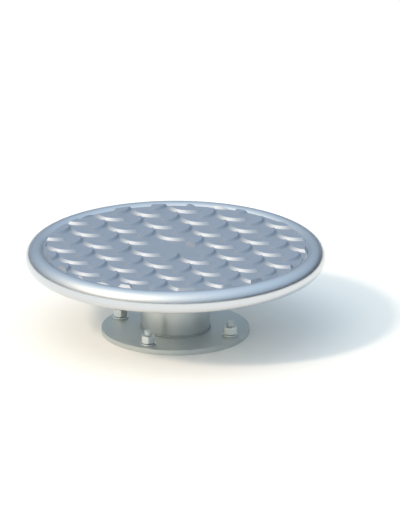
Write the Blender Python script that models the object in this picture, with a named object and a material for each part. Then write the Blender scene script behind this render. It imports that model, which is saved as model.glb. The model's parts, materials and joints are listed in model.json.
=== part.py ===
"""Pivot disc: a round tread-plate deck that turns on a short column bolted to the floor.

Metres, +Z up. The origin is the centre of the floor flange's underside, and the deck turns
about the Z axis. The floor flange, the column and the bearing cartridge stand still. The deck,
its rim, arms and spindle turn on two ball bearings inside the column.
"""

import math

import bmesh
import bpy

MM = 0.001

# Fits
TOUCH_GAP = 0.3 * MM           # between pieces that touch
TUBE_GAP = 0.5 * MM            # between the rim tube's faceted side and what is welded to it
RUNNING_GAP = 2.0 * MM         # between the still cartridge and the turning spindle flange
MERGE_DISTANCE = 0.001 * MM

# Deck
DISC_DIAMETER = 450.0 * MM
OVERALL_HEIGHT = 136.0 * MM    # to the tops of the lugs
RIM_TUBE_DIAMETER = 33.7 * MM
RIM_TUBE_WALL = 2.6 * MM
DECK_RECESS = 3.5 * MM         # from the top of the rim down to the plate
PLATE_THICKNESS = 5.0 * MM
DRAIN_DIAMETER = 6.0 * MM
DRAIN_COUNT = 3
DRAIN_TURN = math.radians(30.0)     # where the first drain lies

# Raised lugs of the tread plate
LUG_PITCH = 40.6 * MM
LUG_LENGTH = 52.0 * MM
LUG_WIDTH = 23.5 * MM
LUG_HEIGHT = 4.5 * MM
LUG_FLANK_RUN = 2.3 * MM       # how far the sloping side leans in
LUG_SHIFT_X = 13.0 * MM        # the pattern's place on the plate
LUG_SHIFT_Y = -1.3 * MM
LUG_ROOT = 0.5 * MM            # how deep a lug is set into the plate
LUG_LEAST_STUB = 3.0 * MM      # a lug cut shorter than this at the rim is left off

# Smooth pad in the middle of the plate, without lugs
PAD_LENGTH = 80.0 * MM
PAD_WIDTH = 50.0 * MM

# Arms under the plate
ARM_COUNT = 6
ARM_THICKNESS = 6.0 * MM
ARM_ROOT_HEIGHT = 30.0 * MM
ARM_TIP_HEIGHT = 15.0 * MM

# Skirt that the arms are welded to, which keeps rain off the bearings
SKIRT_DIAMETER = 114.3 * MM
SKIRT_WALL = 3.6 * MM
SKIRT_HEIGHT = 33.0 * MM

# Floor flange and column
FLANGE_DIAMETER = 222.0 * MM
FLANGE_THICKNESS = 8.0 * MM
FLANGE_EDGE = 0.8 * MM
ACCESS_DIAMETER = 60.0 * MM
COLUMN_DIAMETER = 101.6 * MM
COLUMN_WALL = 5.0 * MM
COLLAR_HEIGHT = 7.0 * MM       # the cartridge's collar on top of the column
COLLAR_STEP = 0.3 * MM         # how far the collar stands in from the column's outside

# Floor studs
STUD_COUNT = 4
STUD_CIRCLE_DIAMETER = 184.0 * MM
STUD_DIAMETER = 12.0 * MM
STUD_RISE = 22.5 * MM          # above the flange
STUD_CHAMFER = 1.2 * MM
STUD_HOLE_DIAMETER = 14.0 * MM
WASHER_DIAMETER = 24.0 * MM
WASHER_HOLE_DIAMETER = 13.0 * MM
WASHER_THICKNESS = 2.5 * MM
NUT_ACROSS_FLATS = 19.0 * MM
NUT_HEIGHT = 12.0 * MM
NUT_CHAMFER = 1.3 * MM

# Ball bearings, 35 x 72 x 17
BEARING_BORE = 35.0 * MM
BEARING_DIAMETER = 72.0 * MM
BEARING_WIDTH = 17.0 * MM
BALL_DIAMETER = 11.112 * MM
BALL_COUNT = 9
RACE_OPENING = 6.65 * MM       # from the inner ring's shoulder to the outer ring's
RACE_ARC_POINTS = 5
CAGE_HEIGHT = 14.6 * MM
CAGE_THICKNESS = 2.1 * MM

# Spindle, cartridge and what holds the bearings
SPINDLE_FLANGE_THICKNESS = 8.0 * MM
SPINDLE_SHOULDER = 4.0 * MM    # from the journal out to the shoulder
SPINDLE_FLOOR_GAP = 5.0 * MM   # from the flange's top up to the spindle's end
THREAD_RELIEF = 0.4 * MM
THREAD_END = 1.9 * MM          # thread that shows below the nut
SPINDLE_CHAMFER = 1.0 * MM
SPINDLE_NUT_DIAMETER = 52.0 * MM
SPINDLE_NUT_THICKNESS = 9.0 * MM
SPINDLE_NUT_SLOTS = 4
SPINDLE_NUT_SLOT_WIDTH = 5.0 * MM
SPINDLE_NUT_SLOT_DEPTH = 2.5 * MM
TAB_WASHER_DIAMETER = 50.0 * MM
TAB_WASHER_THICKNESS = 1.5 * MM
CARTRIDGE_SHOULDER = 4.5 * MM
CARTRIDGE_LIP = 1.7 * MM       # below the lower circlip's groove
CIRCLIP_THICKNESS = 2.0 * MM
CIRCLIP_WIDTH = 4.4 * MM
CIRCLIP_GROOVE_DEPTH = 2.0 * MM
CIRCLIP_OPENING = math.radians(24.0)
SEAL_WIDTH = 7.0 * MM
SEAL_RECESS = 1.0 * MM
SEAL_LIP = 2.2 * MM

# How finely round shapes are divided
DISC_STEPS = 64
RIM_SECTION_STEPS = 16
RIM_BORE_STEPS = 32
RIM_BORE_SECTION_STEPS = 8
FLANGE_STEPS = 48
TUBE_STEPS = 42
HUB_STEPS = 30
RING_STEPS = 24
CAGE_STEPS_PER_BALL = 2
NUT_STEPS = 24
BOLT_STEPS = 16
DRILL_STEPS = 12
LUG_SIDE_STEPS = 4
SHARP_ANGLE = math.radians(35.0)    # edges steeper than this stay sharp
AXIS_MARK = 50.0 * MM               # size of the empties on the joint axes

# Radii that follow
rim_radius = RIM_TUBE_DIAMETER / 2
rim_bore_radius = rim_radius - RIM_TUBE_WALL
rim_centre_radius = DISC_DIAMETER / 2 - rim_radius
skirt_radius = SKIRT_DIAMETER / 2
skirt_bore_radius = skirt_radius - SKIRT_WALL
column_radius = COLUMN_DIAMETER / 2
column_bore_radius = column_radius - COLUMN_WALL
cartridge_radius = column_bore_radius - TOUCH_GAP
bearing_radius = BEARING_DIAMETER / 2
bearing_bore_radius = BEARING_BORE / 2
pitch_radius = (bearing_radius + bearing_bore_radius) / 2
ball_radius = BALL_DIAMETER / 2
race_radius = ball_radius + TOUCH_GAP
cartridge_bore_radius = bearing_radius + TOUCH_GAP
groove_radius = cartridge_bore_radius + CIRCLIP_GROOVE_DEPTH
journal_radius = bearing_bore_radius - TOUCH_GAP
shoulder_radius = journal_radius + SPINDLE_SHOULDER
thread_radius = journal_radius - THREAD_RELIEF

# Heights that follow: the deck from the top down
plate_top = OVERALL_HEIGHT - LUG_HEIGHT
plate_bottom = plate_top - PLATE_THICKNESS
rim_centre_height = plate_top + DECK_RECESS - rim_radius
under_plate = plate_bottom - TOUCH_GAP
spindle_flange_bottom = under_plate - SPINDLE_FLANGE_THICKNESS
cartridge_top = spindle_flange_bottom - RUNNING_GAP
seal_top = cartridge_top - SEAL_RECESS
seal_bottom = seal_top - SEAL_WIDTH
upper_circlip_bottom = seal_bottom - TOUCH_GAP - CIRCLIP_THICKNESS
upper_bearing_top = upper_circlip_bottom - TOUCH_GAP
upper_bearing_bottom = upper_bearing_top - BEARING_WIDTH
column_top = cartridge_top - COLLAR_HEIGHT - TOUCH_GAP

# Heights that follow: the hub from the floor up
flange_top = FLANGE_THICKNESS
column_bottom = flange_top + TOUCH_GAP
washer_bottom = flange_top + TOUCH_GAP
nut_bottom = washer_bottom + WASHER_THICKNESS + TOUCH_GAP
spindle_bottom = flange_top + SPINDLE_FLOOR_GAP
spindle_nut_bottom = spindle_bottom + THREAD_END
tab_washer_bottom = spindle_nut_bottom + SPINDLE_NUT_THICKNESS + TOUCH_GAP
lower_bearing_bottom = tab_washer_bottom + TAB_WASHER_THICKNESS + TOUCH_GAP
lower_bearing_top = lower_bearing_bottom + BEARING_WIDTH
lower_circlip_bottom = lower_bearing_bottom - TOUCH_GAP - CIRCLIP_THICKNESS
lower_groove_bottom = lower_circlip_bottom - TOUCH_GAP
cartridge_bottom = lower_groove_bottom - CARTRIDGE_LIP


def clear_scene():
    for item in list(bpy.data.objects):
        bpy.data.objects.remove(item)


def finish(name, colour, roughness, metallic):
    """One Principled material."""
    made = bpy.data.materials.new(name)
    made.use_nodes = True
    shader = made.node_tree.nodes["Principled BSDF"]
    shader.inputs["Base Color"].default_value = (*colour, 1.0)
    shader.inputs["Roughness"].default_value = roughness
    shader.inputs["Metallic"].default_value = metallic
    made.diffuse_color = (*colour, 1.0)
    return made


def axis_empty(name):
    """An empty on the upright axis, the parent of one body's pieces."""
    made = bpy.data.objects.new(name, None)
    made.empty_display_size = AXIS_MARK
    bpy.context.collection.objects.link(made)
    return made


def place(name, mesh, look=None, parent=None, location=(0.0, 0.0, 0.0), turn=0.0):
    """Put a mesh in the scene as a named object, smooth over its round faces."""
    made = bpy.data.objects.new(name, mesh)
    bpy.context.collection.objects.link(made)
    made.location = location
    made.rotation_euler = (0.0, 0.0, turn)
    made.parent = parent
    if look and not mesh.materials:
        mesh.materials.append(look)
    return made


def smooth(mesh, angle=SHARP_ANGLE):
    mesh.shade_smooth()
    mesh.set_sharp_from_angle(angle=angle)
    return mesh


def guide(name, mesh):
    """A cutter or a shape for a Boolean, which is not a piece of the object."""
    made = place(name, mesh)
    made.hide_render = True
    made.display_type = "WIRE"
    return made


def boolean(target, operation, other):
    modifier = target.modifiers.new(other.name, "BOOLEAN")
    modifier.operation = operation
    modifier.solver = "EXACT"
    modifier.object = other


def mesh_from(bm, name):
    bmesh.ops.remove_doubles(bm, verts=bm.verts, dist=MERGE_DISTANCE)
    bmesh.ops.recalc_face_normals(bm, faces=bm.faces)
    mesh = bpy.data.meshes.new(name)
    bm.to_mesh(mesh)
    bm.free()
    return mesh


def spun(bm, profile, steps, closed=True, angle=math.tau):
    """Spin a profile of (radius, height) points about the Z axis."""
    verts = [bm.verts.new((radius, 0.0, height)) for radius, height in profile]
    edges = [bm.edges.new(pair) for pair in zip(verts, verts[1:])]
    if closed:
        edges.append(bm.edges.new((verts[-1], verts[0])))
    bmesh.ops.spin(bm, geom=verts + edges, cent=(0.0, 0.0, 0.0), axis=(0.0, 0.0, 1.0),
                   angle=angle, steps=steps, use_merge=angle == math.tau)
    return bm


def turned(name, profile, steps, closed=True):
    """A turned piece. A closed profile makes a ring, an open one starts and ends on the axis."""
    return smooth(mesh_from(spun(bmesh.new(), profile, steps, closed), name))


def tube(name, inner, outer, bottom, top, steps):
    return turned(name, [(inner, bottom), (outer, bottom), (outer, top), (inner, top)], steps)


def disc(name, radius, bottom, top, steps):
    return turned(name, [(0.0, bottom), (radius, bottom), (radius, top), (0.0, top)], steps, False)


def arc(centre_radius, centre_height, radius, start, end, points):
    """Points of an arc in the (radius, height) plane."""
    angles = [start + (end - start) * step / (points - 1) for step in range(points)]
    return [(centre_radius + radius * math.cos(a), centre_height + radius * math.sin(a)) for a in angles]


def around(radius, steps):
    """The radius of a polygon whose flats stay outside a circle."""
    return radius / math.cos(math.pi / steps)


def prism(bm, outline, bottom, top, top_outline=None):
    """Join a lower outline to an upper one with flat sides."""
    upper = top_outline or outline
    low = [bm.verts.new((x, y, bottom)) for x, y in outline]
    high = [bm.verts.new((x, y, top)) for x, y in upper]
    bm.faces.new(reversed(low))
    bm.faces.new(high)
    for step in range(len(low)):
        after = (step + 1) % len(low)
        bm.faces.new((low[step], low[after], high[after], high[step]))


def circle(radius, steps, centre=(0.0, 0.0)):
    angles = [math.tau * step / steps for step in range(steps)]
    return [(centre[0] + radius * math.cos(a), centre[1] + radius * math.sin(a)) for a in angles]


def rectangle(left, right, front, back):
    return [(left, front), (right, front), (right, back), (left, back)]


def tube_inner_face(height):
    """How far out the rim tube's inner side lies at a height."""
    rise = min(abs(height - rim_centre_height), rim_radius)
    return rim_centre_radius - math.sqrt(rim_radius ** 2 - rise ** 2)


def lens(half_length, half_width, steps):
    """The outline of a lug: two equal arcs that meet in a point at each end, along X."""
    arc_radius = (half_length ** 2 + half_width ** 2) / (2 * half_width)
    reach = math.asin(half_length / arc_radius)
    angles = [reach - 2 * reach * step / steps for step in range(steps)]
    side = [(arc_radius * math.sin(a), arc_radius * (math.cos(a) - 1) + half_width) for a in angles]
    return side + [(-x, -y) for x, y in side]


def lug_places():
    """Centre and direction of each lug: turned a quarter from one to the next, like a chessboard."""
    reach = math.ceil(DISC_DIAMETER / 2 / LUG_PITCH) + 1
    for row in range(-reach, reach + 1):
        for column in range(-reach, reach + 1):
            x = LUG_SHIFT_X + column * LUG_PITCH
            y = LUG_SHIFT_Y + row * LUG_PITCH
            yield x, y, (row + column) % 2 == 1


def on_pad(x, y):
    return abs(x) < PAD_LENGTH / 2 and abs(y) < PAD_WIDTH / 2


def make_tread_plate(look, parent):
    """The plate with its lugs, cut round from a wider sheet so that it fits inside the rim tube."""
    edge_top = tube_inner_face(plate_top) - TUBE_GAP
    edge_bottom = tube_inner_face(max(plate_bottom, rim_centre_height)) - TUBE_GAP
    root = plate_top - LUG_ROOT
    root_run = LUG_FLANK_RUN * LUG_ROOT / LUG_HEIGHT
    above = OVERALL_HEIGHT + LUG_HEIGHT

    bm = bmesh.new()
    for x, y, crosswise in lug_places():
        outlines = []
        for inset in (-root_run, LUG_FLANK_RUN):
            outline = lens(LUG_LENGTH / 2 - inset, LUG_WIDTH / 2 - inset, LUG_SIDE_STEPS)
            if crosswise:
                outline = [(-v, u) for u, v in outline]
            outlines.append([(x + u, y + v) for u, v in outline])
        nearest = min(math.hypot(*point) for point in outlines[0])
        if nearest < edge_top - LUG_LEAST_STUB and not on_pad(x, y):
            prism(bm, outlines[0], root, OVERALL_HEIGHT, outlines[1])
    lugs = guide("lug_pattern", mesh_from(bm, "lug_pattern"))
    bm = bmesh.new()
    pad = rectangle(-PAD_LENGTH / 2, PAD_LENGTH / 2, -PAD_WIDTH / 2, PAD_WIDTH / 2)
    prism(bm, pad, root - LUG_HEIGHT, above)
    boolean(lugs, "DIFFERENCE", guide("pad_block", mesh_from(bm, "pad_block")))

    outline = [(0.0, plate_bottom), (edge_bottom, plate_bottom), (edge_top, plate_top), (edge_top, above),
               (0.0, above)]
    field = guide("plate_outline", turned("plate_outline", outline, DISC_STEPS, closed=False))
    sheet = disc("tread_plate", DISC_DIAMETER / 2 + LUG_LENGTH, plate_bottom - PLATE_THICKNESS, plate_top,
                 DISC_STEPS)
    plate = place("tread_plate", sheet, look, parent)
    boolean(plate, "UNION", lugs)
    boolean(plate, "INTERSECT", field)


def make_rim_tube(look, parent):
    section = arc(rim_centre_radius, rim_centre_height, rim_radius, 0.0, math.tau, RIM_SECTION_STEPS + 1)
    bore = arc(rim_centre_radius, rim_centre_height, rim_bore_radius, 0.0, math.tau,
               RIM_BORE_SECTION_STEPS + 1)
    wall = turned("rim_tube", section[:-1], DISC_STEPS)
    inside = turned("rim_bore", bore[:-1], RIM_BORE_STEPS)
    bm = bmesh.new()
    bm.from_mesh(inside)
    bmesh.ops.reverse_faces(bm, faces=bm.faces)
    bm.from_mesh(wall)
    bm.to_mesh(wall)
    bm.free()
    bpy.data.meshes.remove(inside)

    bm = bmesh.new()
    for drain in range(DRAIN_COUNT):
        angle = DRAIN_TURN + math.tau * drain / DRAIN_COUNT
        centre = (rim_centre_radius * math.cos(angle), rim_centre_radius * math.sin(angle))
        prism(bm, circle(DRAIN_DIAMETER / 2, DRILL_STEPS, centre),
              rim_centre_height - rim_radius - RIM_TUBE_WALL, rim_centre_height)
    drains = guide("rim_drains", mesh_from(bm, "rim_drains"))
    boolean(place("rim_tube", smooth(wall), look, parent), "DIFFERENCE", drains)


def make_arms(look, parent):
    inner = skirt_radius + TOUCH_GAP
    outer = tube_inner_face(rim_centre_height) - TUBE_GAP
    half = ARM_THICKNESS / 2
    corners = [(inner, under_plate - ARM_ROOT_HEIGHT), (outer, under_plate - ARM_TIP_HEIGHT),
               (outer, under_plate), (inner, under_plate)]
    bm = bmesh.new()
    near = [bm.verts.new((x, -half, z)) for x, z in corners]
    extruded = bmesh.ops.extrude_face_region(bm, geom=[bm.faces.new(near)])
    moved = [item for item in extruded["geom"] if isinstance(item, bmesh.types.BMVert)]
    bmesh.ops.translate(bm, verts=moved, vec=(0.0, ARM_THICKNESS, 0.0))
    mesh = mesh_from(bm, "deck_arm")
    for arm in range(ARM_COUNT):
        place(f"deck_arm_{arm + 1}", mesh, look, parent, turn=math.tau * arm / ARM_COUNT)


def make_spindle(look, parent):
    flange_radius = skirt_bore_radius - TOUCH_GAP
    shoulder_bottom = upper_bearing_top + TOUCH_GAP
    thread_top = tab_washer_bottom + TAB_WASHER_THICKNESS
    profile = [
        (0.0, spindle_bottom),
        (thread_radius - SPINDLE_CHAMFER, spindle_bottom),
        (thread_radius, spindle_bottom + SPINDLE_CHAMFER),
        (thread_radius, thread_top),
        (journal_radius, thread_top),
        (journal_radius, shoulder_bottom),
        (shoulder_radius, shoulder_bottom),
        (shoulder_radius, spindle_flange_bottom),
        (flange_radius, spindle_flange_bottom),
        (flange_radius, under_plate),
        (0.0, under_plate),
    ]
    place("hub_spindle", turned("hub_spindle", profile, HUB_STEPS, closed=False), look, parent)
    skirt = tube("weather_skirt", skirt_bore_radius, skirt_radius, under_plate - SKIRT_HEIGHT,
                 under_plate, TUBE_STEPS)
    place("weather_skirt", skirt, look, parent)


def make_spindle_nut(look, parent):
    hole = thread_radius + TOUCH_GAP
    outer = SPINDLE_NUT_DIAMETER / 2
    top = spindle_nut_bottom + SPINDLE_NUT_THICKNESS
    nut = place("spindle_nut", tube("spindle_nut", hole, outer, spindle_nut_bottom, top, RING_STEPS),
                look, parent)
    bm = bmesh.new()
    slot = rectangle(outer - SPINDLE_NUT_SLOT_DEPTH, outer + SPINDLE_NUT_SLOT_DEPTH,
                     -SPINDLE_NUT_SLOT_WIDTH / 2, SPINDLE_NUT_SLOT_WIDTH / 2)
    for step in range(SPINDLE_NUT_SLOTS):
        angle = math.tau * step / SPINDLE_NUT_SLOTS
        turned_slot = [(x * math.cos(angle) - y * math.sin(angle),
                        x * math.sin(angle) + y * math.cos(angle)) for x, y in slot]
        prism(bm, turned_slot, spindle_nut_bottom - SPINDLE_NUT_THICKNESS, top + SPINDLE_NUT_THICKNESS)
    boolean(nut, "DIFFERENCE", guide("nut_slots", mesh_from(bm, "nut_slots")))
    washer = tube("spindle_tab_washer", hole, TAB_WASHER_DIAMETER / 2, tab_washer_bottom,
                  tab_washer_bottom + TAB_WASHER_THICKNESS, RING_STEPS)
    place("spindle_tab_washer", washer, look, parent)
    spacer = tube("bearing_spacer", bearing_bore_radius, shoulder_radius, lower_bearing_top + TOUCH_GAP,
                  upper_bearing_bottom - TOUCH_GAP, RING_STEPS)
    place("bearing_spacer", spacer, look, parent)


def make_cartridge(look, parent):
    collar_radius = column_radius - COLLAR_STEP
    shoulder = bearing_radius - CARTRIDGE_SHOULDER
    profile = [
        (cartridge_bore_radius, cartridge_bottom),
        (cartridge_radius, cartridge_bottom),
        (cartridge_radius, column_top + TOUCH_GAP),
        (collar_radius, column_top + TOUCH_GAP),
        (collar_radius, cartridge_top),
        (cartridge_bore_radius, cartridge_top),
        (cartridge_bore_radius, upper_bearing_top + TOUCH_GAP * 2 + CIRCLIP_THICKNESS),
        (groove_radius, upper_bearing_top + TOUCH_GAP * 2 + CIRCLIP_THICKNESS),
        (groove_radius, upper_bearing_top),
        (cartridge_bore_radius, upper_bearing_top),
        (cartridge_bore_radius, upper_bearing_bottom - TOUCH_GAP),
        (shoulder, upper_bearing_bottom - TOUCH_GAP),
        (shoulder, lower_bearing_top + TOUCH_GAP),
        (cartridge_bore_radius, lower_bearing_top + TOUCH_GAP),
        (cartridge_bore_radius, lower_bearing_bottom),
        (groove_radius, lower_bearing_bottom),
        (groove_radius, lower_groove_bottom),
        (cartridge_bore_radius, lower_groove_bottom),
    ]
    place("bearing_cartridge", turned("bearing_cartridge", profile, HUB_STEPS), look, parent)


def make_circlips(look, parent):
    outer = groove_radius - TOUCH_GAP
    profile = [(outer - CIRCLIP_WIDTH, 0.0), (outer, 0.0), (outer, CIRCLIP_THICKNESS),
               (outer - CIRCLIP_WIDTH, CIRCLIP_THICKNESS)]
    bm = spun(bmesh.new(), profile, RING_STEPS, angle=math.tau - CIRCLIP_OPENING)
    bmesh.ops.holes_fill(bm, edges=[edge for edge in bm.edges if edge.is_boundary])
    mesh = smooth(mesh_from(bm, "circlip"))
    place("lower_circlip", mesh, look, parent, (0.0, 0.0, lower_circlip_bottom))
    place("upper_circlip", mesh, look, parent, (0.0, 0.0, upper_circlip_bottom))


def make_seal(look, parent):
    lip = shoulder_radius + TOUCH_GAP
    middle = (seal_top + seal_bottom) / 2
    profile = [
        (lip, middle - SEAL_LIP / 2),
        (lip + SEAL_LIP, seal_bottom),
        (bearing_radius, seal_bottom),
        (bearing_radius, seal_top),
        (lip + SEAL_LIP, seal_top),
        (lip, middle + SEAL_LIP / 2),
    ]
    place("spindle_seal", turned("spindle_seal", profile, HUB_STEPS), look, parent)


def make_bearing_rings(steel, base, deck):
    """Each ring's track is an arc that clears the balls by the touch gap."""
    half = BEARING_WIDTH / 2
    shoulder = RACE_OPENING / 2
    reach = math.acos(shoulder / race_radius)
    inner = arc(pitch_radius, 0.0, race_radius, math.pi + reach, math.pi - reach, RACE_ARC_POINTS)
    outer = arc(pitch_radius, 0.0, race_radius, reach, -reach, RACE_ARC_POINTS)
    inner_side = [(pitch_radius - shoulder, -half)] + inner + [(pitch_radius - shoulder, half)]
    outer_side = [(pitch_radius + shoulder, half)] + outer + [(pitch_radius + shoulder, -half)]
    inner_profile = [(bearing_bore_radius, half), (bearing_bore_radius, -half)] + inner_side
    outer_profile = [(bearing_radius, -half), (bearing_radius, half)]
    outer_profile += [(around(radius, RING_STEPS), height) for radius, height in outer_side]
    inner_mesh = turned("bearing_inner_ring", inner_profile, RING_STEPS)
    outer_mesh = turned("bearing_outer_ring", outer_profile, RING_STEPS)
    for level, bottom in (("lower", lower_bearing_bottom), ("upper", upper_bearing_bottom)):
        place(f"{level}_bearing_inner_ring", inner_mesh, steel, deck, (0.0, 0.0, bottom + half))
        place(f"{level}_bearing_outer_ring", outer_mesh, steel, base, (0.0, 0.0, bottom + half))


def make_ball_sets(brass, steel):
    """A pierced cage with its balls for each bearing, each set turning by itself."""
    pocket = around(ball_radius + TOUCH_GAP, DRILL_STEPS)
    ring = tube("ball_cage", pitch_radius - CAGE_THICKNESS / 2, pitch_radius + CAGE_THICKNESS / 2,
                -CAGE_HEIGHT / 2, CAGE_HEIGHT / 2, BALL_COUNT * CAGE_STEPS_PER_BALL)
    bm = bmesh.new()
    for ball in range(BALL_COUNT):
        angle = math.tau * ball / BALL_COUNT
        across = (math.cos(angle), math.sin(angle))
        rings = []
        for radius in (pitch_radius - CAGE_THICKNESS * 2, pitch_radius + CAGE_THICKNESS * 2):
            ring_points = [(across[0] * radius - across[1] * u, across[1] * radius + across[0] * u, v)
                           for u, v in circle(pocket, DRILL_STEPS)]
            rings.append([bm.verts.new(point) for point in ring_points])
        bm.faces.new(rings[0])
        bm.faces.new(reversed(rings[1]))
        for step in range(DRILL_STEPS):
            after = (step + 1) % DRILL_STEPS
            bm.faces.new((rings[0][step], rings[1][step], rings[1][after], rings[0][after]))
    pockets = mesh_from(bm, "cage_pockets")

    bm = bmesh.new()
    bmesh.ops.create_icosphere(bm, subdivisions=2, radius=ball_radius)
    ball_mesh = smooth(mesh_from(bm, "ball"), math.pi)
    for level, bottom in (("lower", lower_bearing_bottom), ("upper", upper_bearing_bottom)):
        middle = bottom + BEARING_WIDTH / 2
        body = axis_empty(f"{level}_cage_axis")
        body.location = (0.0, 0.0, middle)
        cage = place(f"{level}_ball_cage", ring, brass, body)
        cutter = guide(f"{level}_cage_pockets", pockets)
        cutter.parent = body
        boolean(cage, "DIFFERENCE", cutter)
        for ball in range(BALL_COUNT):
            angle = math.tau * ball / BALL_COUNT
            spot = (pitch_radius * math.cos(angle), pitch_radius * math.sin(angle), 0.0)
            place(f"{level}_ball_{ball + 1}", ball_mesh, steel, body, spot, angle)


def make_floor_flange(look, parent):
    outer = FLANGE_DIAMETER / 2
    hole = ACCESS_DIAMETER / 2
    profile = [(hole, 0.0), (outer, 0.0), (outer, flange_top - FLANGE_EDGE),
               (outer - FLANGE_EDGE, flange_top), (hole, flange_top)]
    flange = place("base_flange", turned("base_flange", profile, FLANGE_STEPS), look, parent)
    bm = bmesh.new()
    for x, y in circle(STUD_CIRCLE_DIAMETER / 2, STUD_COUNT):
        prism(bm, circle(STUD_HOLE_DIAMETER / 2, BOLT_STEPS, (x, y)), -flange_top, flange_top * 2)
    boolean(flange, "DIFFERENCE", guide("stud_holes", mesh_from(bm, "stud_holes")))


def make_column(look, parent):
    column = tube("pedestal_tube", column_bore_radius, column_radius, column_bottom, column_top, TUBE_STEPS)
    place("pedestal_tube", column, look, parent)


def make_fasteners(zinc, parent):
    """A stud, a washer and a hex nut at each hole, with one corner of each nut along X."""
    stud_radius = STUD_DIAMETER / 2
    stud_top = flange_top + STUD_RISE
    stud = turned("anchor_stud", [(0.0, 0.0), (stud_radius, 0.0), (stud_radius, stud_top - STUD_CHAMFER),
                                  (stud_radius - STUD_CHAMFER, stud_top), (0.0, stud_top)], BOLT_STEPS, False)
    washer = tube("stud_washer", around(WASHER_HOLE_DIAMETER / 2, BOLT_STEPS), WASHER_DIAMETER / 2,
                  0.0, WASHER_THICKNESS, BOLT_STEPS)
    corner = around(NUT_ACROSS_FLATS / 2, 6)
    bore = around(stud_radius + TOUCH_GAP, BOLT_STEPS)
    blank = turned("stud_nut", [(bore, 0.0), (corner, 0.0), (corner, NUT_HEIGHT - NUT_CHAMFER / 2),
                                (corner - NUT_CHAMFER, NUT_HEIGHT), (bore, NUT_HEIGHT)], NUT_STEPS)
    bm = bmesh.new()
    prism(bm, circle(corner, 6), -NUT_HEIGHT, NUT_HEIGHT * 2)
    hexagon = mesh_from(bm, "nut_hexagon")
    for index, (x, y) in enumerate(circle(STUD_CIRCLE_DIAMETER / 2, STUD_COUNT), start=1):
        place(f"anchor_stud_{index}", stud, zinc, parent, (x, y, 0.0))
        place(f"stud_washer_{index}", washer, zinc, parent, (x, y, washer_bottom))
        nut = place(f"stud_nut_{index}", blank, zinc, parent, (x, y, nut_bottom))
        shape = guide(f"nut_hexagon_{index}", hexagon)
        shape.parent = parent
        shape.location = (x, y, nut_bottom)
        boolean(nut, "INTERSECT", shape)


def main():
    clear_scene()
    tread = finish("tread_steel", (0.60, 0.64, 0.70), 0.30, 1.0)
    rim = finish("rim_steel", (0.66, 0.69, 0.74), 0.24, 1.0)
    column = finish("column_steel", (0.60, 0.63, 0.64), 0.32, 1.0)
    bright = finish("bearing_steel", (0.72, 0.72, 0.73), 0.18, 1.0)
    zinc = finish("zinc_plate", (0.66, 0.68, 0.70), 0.36, 1.0)
    brass = finish("cage_brass", (0.72, 0.54, 0.24), 0.34, 1.0)
    rubber = finish("seal_rubber", (0.03, 0.03, 0.03), 0.60, 0.0)

    base = axis_empty("base_axis")
    make_floor_flange(column, base)
    make_column(column, base)
    make_fasteners(zinc, base)
    make_cartridge(column, base)
    make_circlips(bright, base)
    make_seal(rubber, base)

    deck = axis_empty("deck_axis")
    make_tread_plate(tread, deck)
    make_rim_tube(rim, deck)
    make_arms(rim, deck)
    make_spindle(rim, deck)
    make_spindle_nut(zinc, deck)

    make_bearing_rings(bright, base, deck)
    make_ball_sets(brass, bright)


main()
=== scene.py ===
"""Looks of the pivot disc: fine surfaces, welds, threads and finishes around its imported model.

The file is laid out as an add-on: its panel lists the steps in the 3D view's sidebar.
"""

import json
from math import acos, atan2, ceil, copysign, cos, pi, radians, sin, sqrt, tan, tau

import bpy
from bpy.props import FloatProperty, FloatVectorProperty, IntProperty, PointerProperty
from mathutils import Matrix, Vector


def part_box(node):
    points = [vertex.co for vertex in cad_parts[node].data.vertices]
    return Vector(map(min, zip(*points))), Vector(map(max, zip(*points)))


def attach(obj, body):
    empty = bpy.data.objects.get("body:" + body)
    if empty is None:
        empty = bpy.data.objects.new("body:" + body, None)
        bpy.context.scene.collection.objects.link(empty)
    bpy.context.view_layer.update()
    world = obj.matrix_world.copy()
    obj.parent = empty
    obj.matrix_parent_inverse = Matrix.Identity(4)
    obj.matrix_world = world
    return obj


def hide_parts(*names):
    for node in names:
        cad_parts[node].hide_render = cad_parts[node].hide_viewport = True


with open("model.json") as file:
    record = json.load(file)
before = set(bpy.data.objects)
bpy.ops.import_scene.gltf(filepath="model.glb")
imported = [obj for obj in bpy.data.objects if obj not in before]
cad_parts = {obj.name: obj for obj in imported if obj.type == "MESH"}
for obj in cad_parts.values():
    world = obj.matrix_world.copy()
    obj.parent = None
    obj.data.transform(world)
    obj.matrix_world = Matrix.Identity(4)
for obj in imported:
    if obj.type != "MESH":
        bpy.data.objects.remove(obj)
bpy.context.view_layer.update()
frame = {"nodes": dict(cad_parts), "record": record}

bl_info = {
    "name": "Pivot Disc",
    "version": (1, 0, 0),
    "blender": (4, 5, 0),
    "location": "3D View > Sidebar > Pivot Disc",
    "description": "Models a standing pivot disc on its bolted column",
    "category": "Object",
}

MM = 0.001

# Sizes that the frame gives
rim_low, rim_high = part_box("rim_tube")
plate_low, plate_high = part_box("tread_plate")
flange_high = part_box("base_flange")[1]
column_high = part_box("pedestal_tube")[1]
skirt_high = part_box("weather_skirt")[1]
arm_low, arm_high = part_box("deck_arm_1")
stud_low, stud_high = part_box("anchor_stud_1")

tube_radius = (rim_high.z - rim_low.z) / 2
rim_radius = rim_high.x - tube_radius
rim_height = rim_high.z - tube_radius
stud_circle_radius = (stud_low.x + stud_high.x) / 2

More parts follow.
